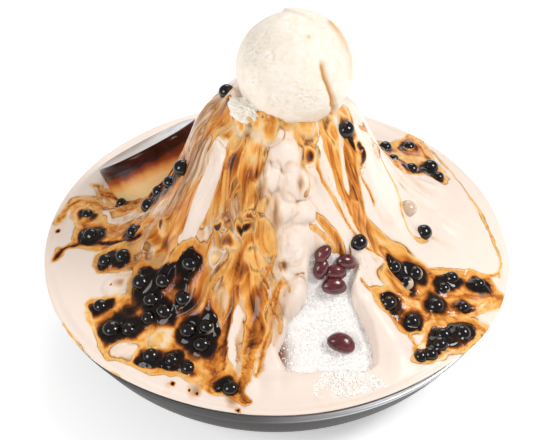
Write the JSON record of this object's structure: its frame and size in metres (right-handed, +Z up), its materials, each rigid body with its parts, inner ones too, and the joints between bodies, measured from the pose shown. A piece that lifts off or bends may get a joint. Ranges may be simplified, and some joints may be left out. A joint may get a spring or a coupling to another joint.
{
  "type": "shaved ice dessert",
  "caption": "Mound of shaved ice in a shallow steel bowl, under poured cream and brown-sugar syrup, with tapioca pearls, red beans, custard pudding and a scoop of ice cream.",
  "frame": {"origin": "centre of the bowl's flat base, on the surface it stands on", "axes": "+Z up; -Y towards the open front of the cream, where the bare ice shows; +X to the right of a viewer who looks along +Y"},
  "size_m": [0.2373, 0.2361, 0.1834],
  "materials": {
    "bowl": "smooth dark steel with a bright polished rim",
    "ice": "white flakes of shaved ice, softly translucent",
    "cream": "poured milk-tea cream, glossy, streaked with amber brown-sugar syrup",
    "ice_cream": "pale scooped ice cream with a rough torn surface",
    "custard": "pale yellow custard, stained orange under the caramel",
    "caramel": "dark glossy caramel",
    "pearl": "near-black glossy tapioca in dark brown-sugar syrup",
    "bean": "glossy dark red sweet bean"
  },
  "bodies": {
    "root": {"bowl": "bowl", "shaved_ice": "ice", "cream": "cream", "ice_cream": "ice_cream", "pudding_custard": "custard", "pudding_caramel": "caramel", "pearls_front_left": "pearl", "pearls_left_small": "pearl", "pearls_left": "pearl", "pearls_pudding": "pearl", "pearls_back_right": "pearl", "pearls_right": "pearl", "pearls_front_right": "pearl", "pearls_back": "pearl", "pearl_scoop_left": "pearl", "pearl_scoop_right": "pearl", "pearl_slope_right": "pearl", "pearl_patch_covered": "pearl", "pearl_patch": "pearl", "red_bean_1": "bean", "red_bean_2": "bean", "red_bean_3": "bean", "red_bean_4": "bean", "red_bean_5": "bean", "red_bean_6": "bean"}
  },
  "joints": []
}
